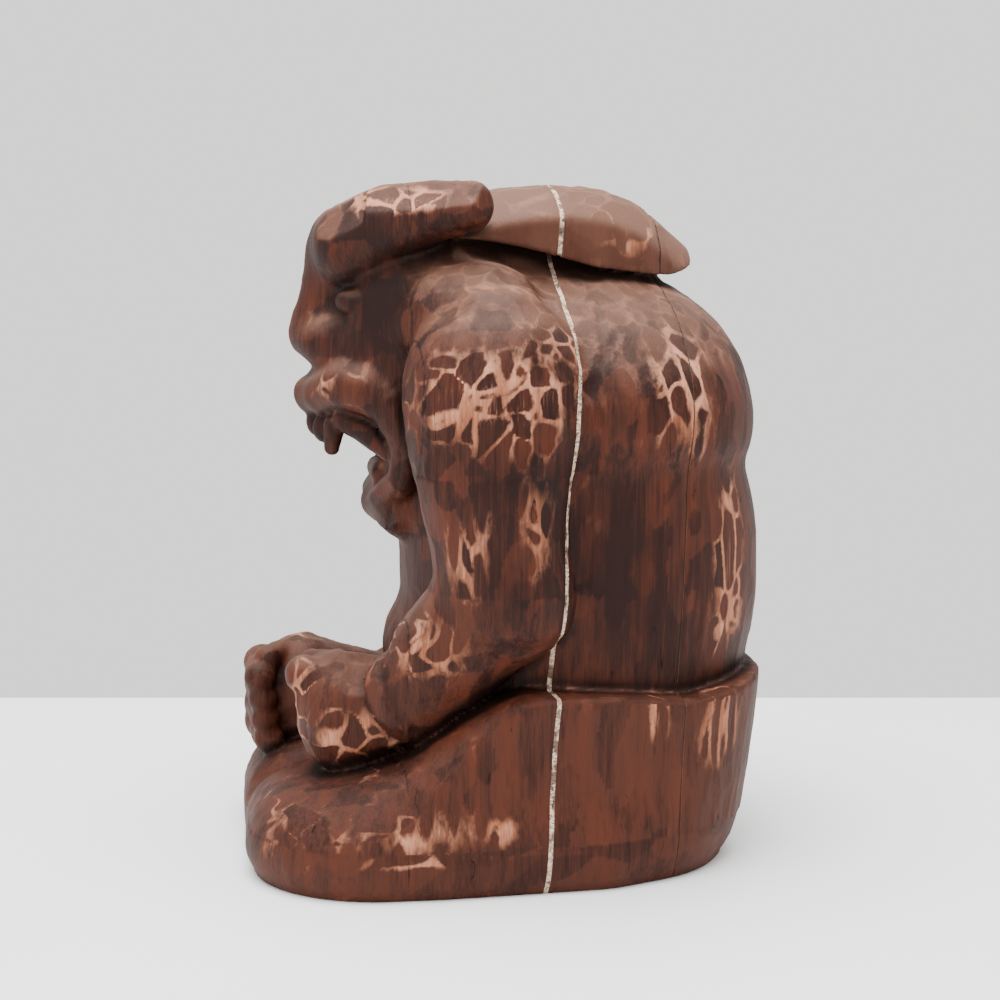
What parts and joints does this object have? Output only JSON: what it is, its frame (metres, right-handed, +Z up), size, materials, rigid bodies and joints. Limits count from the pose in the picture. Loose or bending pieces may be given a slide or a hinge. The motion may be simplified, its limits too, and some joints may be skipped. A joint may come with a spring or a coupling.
{
  "type": "carved guardian figure",
  "caption": "Crouching hunched guardian figure, gouge-carved from upright hardwood boards glued face to face, fists on its lap, flat underside.",
  "frame": {"origin": "centre of the bounding box, on the surface that the figure rests on", "axes": "+Z up, the figure faces -Y, its left hand is towards +X"},
  "size_m": [0.2672, 0.278, 0.3519],
  "materials": {
    "carved_wood": "dark stain, gouge-cut facets worn pale on their ridges, satin wax",
    "pale_filler": "matt putty, cracked",
    "dark_glue": "matt",
    "dowel_wood": "plain turned hardwood"
  },
  "bodies": {
    "root": {"face_block": "carved_wood", "lap_block": "carved_wood", "chest_block": "carved_wood", "middle_block": "carved_wood", "back_block": "carved_wood", "middle_filler": "pale_filler", "rear_glue_line": "dark_glue", "front_dowels": "dowel_wood", "middle_dowels": "dowel_wood", "rear_dowels": "dowel_wood"}
  },
  "joints": []
}
